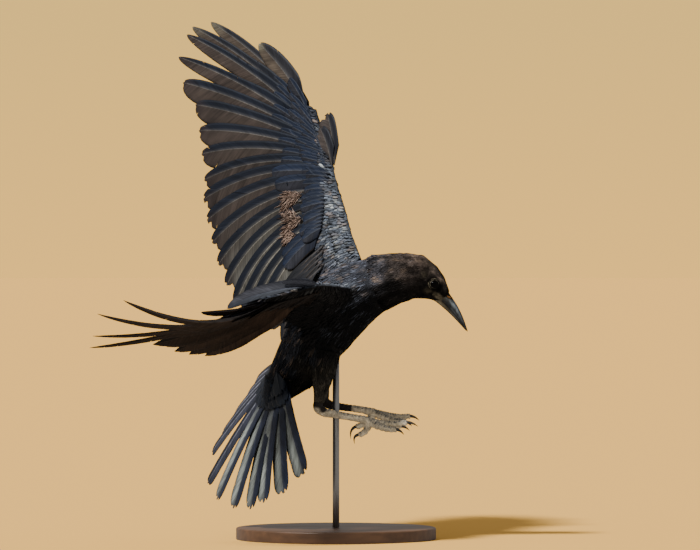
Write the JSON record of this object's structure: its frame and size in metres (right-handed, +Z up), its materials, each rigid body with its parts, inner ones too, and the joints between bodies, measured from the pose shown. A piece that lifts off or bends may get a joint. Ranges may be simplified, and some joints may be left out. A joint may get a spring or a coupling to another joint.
{
  "type": "crow",
  "caption": "Life-size crow in landing flight, wings raised, tail fanned and feet reaching forward, held on a plain round stand by one rod.",
  "frame": {"origin": "centre of the underside of the stand's base, on the floor", "axes": "+Z up along the rod, +X the way the head points, -Y the bird's right side"},
  "size_m": [0.4444, 0.5813, 0.6388],
  "materials": {
    "plumage": "small black feathers with a blue gloss",
    "flight_feathers": "navy-black outer vanes and brown-grey inner vanes",
    "bill": "dark grey horn, satin",
    "eye": "wet black",
    "leg_scales": "grey scutes dusted with tan sand",
    "claw": "dark horn",
    "stand_wood": "oiled dark wood",
    "stand_metal": "satin"
  },
  "bodies": {
    "root": {"trunk": "plumage", "neck": "plumage", "head": "plumage", "bill_upper": "bill", "bill_lower": "bill", "eye_left": "eye", "eye_right": "eye", "tail_coverts": "plumage", "tail_left": "flight_feathers", "tail_right": "flight_feathers", "wing_left_arm": "plumage", "wing_left_hand": "plumage", "wing_left_primaries": "flight_feathers", "wing_left_secondaries": "flight_feathers", "wing_left_tertials": "flight_feathers", "wing_left_alula": "flight_feathers", "leg_left_thigh": "plumage", "leg_left_tarsus": "leg_scales", "leg_left_foot": "leg_scales", "claw_left_middle": "claw", "claw_left_outer": "claw", "claw_left_inner": "claw", "claw_left_hind": "claw", "wing_right_arm": "plumage", "wing_right_hand": "plumage", "wing_right_primaries": "flight_feathers", "wing_right_secondaries": "flight_feathers", "wing_right_tertials": "flight_feathers", "wing_right_alula": "flight_feathers", "leg_right_thigh": "plumage", "leg_right_tarsus": "leg_scales", "leg_right_foot": "leg_scales", "claw_right_middle": "claw", "claw_right_outer": "claw", "claw_right_inner": "claw", "claw_right_hind": "claw", "stand_base": "stand_wood", "stand_rod": "stand_metal"}
  },
  "joints": []
}
